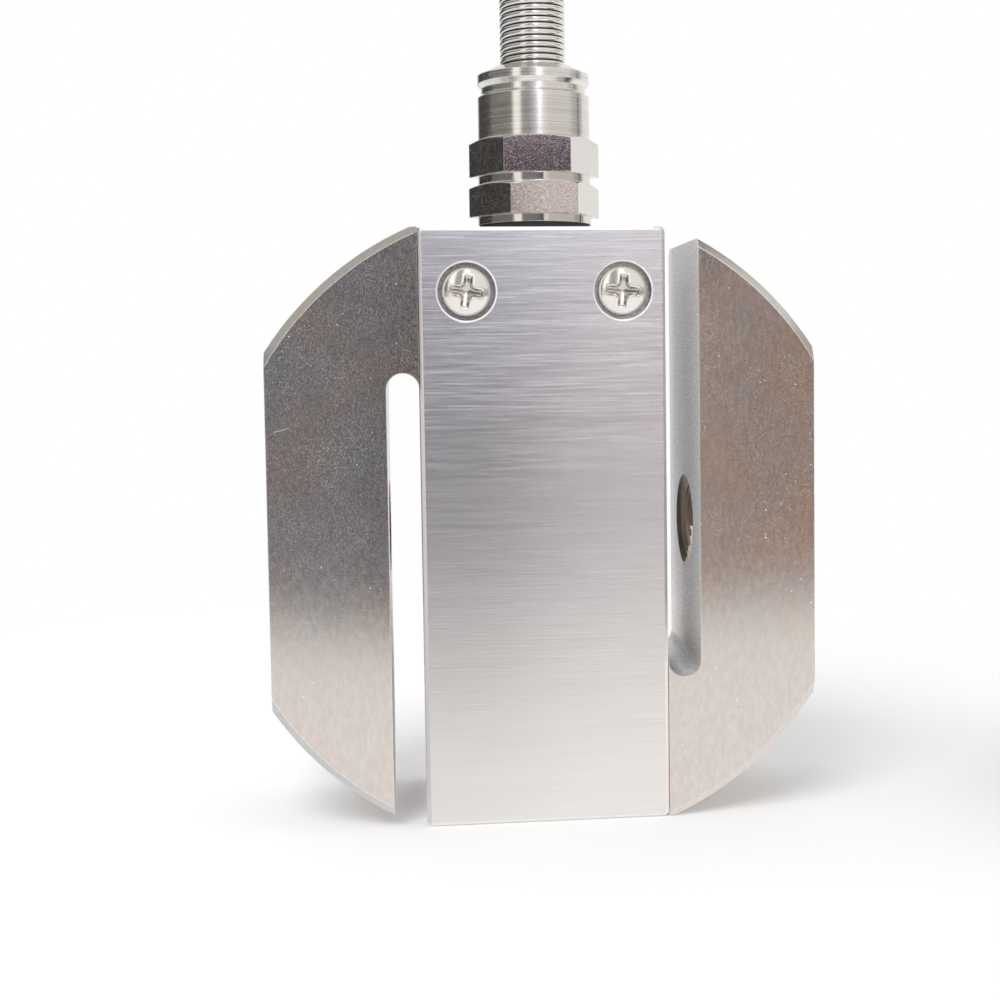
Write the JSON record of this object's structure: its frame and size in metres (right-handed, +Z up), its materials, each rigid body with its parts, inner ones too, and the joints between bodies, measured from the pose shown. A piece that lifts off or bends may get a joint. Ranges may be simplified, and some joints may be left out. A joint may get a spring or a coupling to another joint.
{
  "type": "s type load cell",
  "caption": "S type load cell with a threaded load hole on each side, screwed covers, a cable gland with a guard spring and a coiled lead.",
  "frame": {"origin": "centre of the cell's footprint on the surface it stands on, leaving out the free lead", "axes": "+Z up along the gland, -Y out of the front cover, +X along the load axis out of the right loading face"},
  "size_m": [0.1821, 0.067, 0.1849],
  "materials": {
    "machined_steel": "ground with a fine upright grain",
    "brushed_steel": "brushed across",
    "polished_steel": "polished",
    "nickel_plate": "nickel plated, bright over turning marks",
    "spring_wire": "bright drawn wire",
    "seal_rubber": "matte black",
    "clamp_plastic": "natural nylon",
    "gauge_film": "amber film with a copper grid",
    "circuit_board": "green lacquer",
    "resistor_black": "matte black",
    "core_red": "satin red insulation",
    "core_black": "satin black insulation",
    "core_green": "satin green insulation",
    "core_white": "satin white insulation",
    "cable_sheath": "satin black sheath",
    "shrunk_sleeve": "satin black shrunk sleeve",
    "bare_braid": "tinned strands"
  },
  "bodies": {
    "root": {"body": "machined_steel", "front_cover": "brushed_steel", "rear_cover": "brushed_steel", "front_gasket": "seal_rubber", "rear_gasket": "seal_rubber", "front_screw_left": "polished_steel", "front_screw_right": "polished_steel", "rear_screw_left": "polished_steel", "rear_screw_right": "polished_steel", "front_gauge_left": "gauge_film", "front_gauge_right": "gauge_film", "rear_gauge_left": "gauge_film", "rear_gauge_right": "gauge_film", "bridge_board": "circuit_board", "trim_resistors": "resistor_black", "front_lead_ribbon": "gauge_film", "rear_lead_ribbon": "gauge_film", "inner_core_red": "core_red", "inner_core_black": "core_black", "inner_core_green": "core_green", "inner_core_white": "core_white", "gland_washer": "seal_rubber", "gland_body": "nickel_plate", "cable_seal": "seal_rubber", "clamp_sleeve": "clamp_plastic", "gland_nut": "nickel_plate", "guard_spring": "spring_wire", "cable_in_gland": "cable_sheath", "cable": "cable_sheath", "cable_coil": "cable_sheath", "end_sleeve": "shrunk_sleeve", "end_core_red": "core_red", "end_core_black": "core_black", "end_core_green": "core_green", "end_core_white": "core_white", "drain_wire": "bare_braid"}
  },
  "joints": []
}
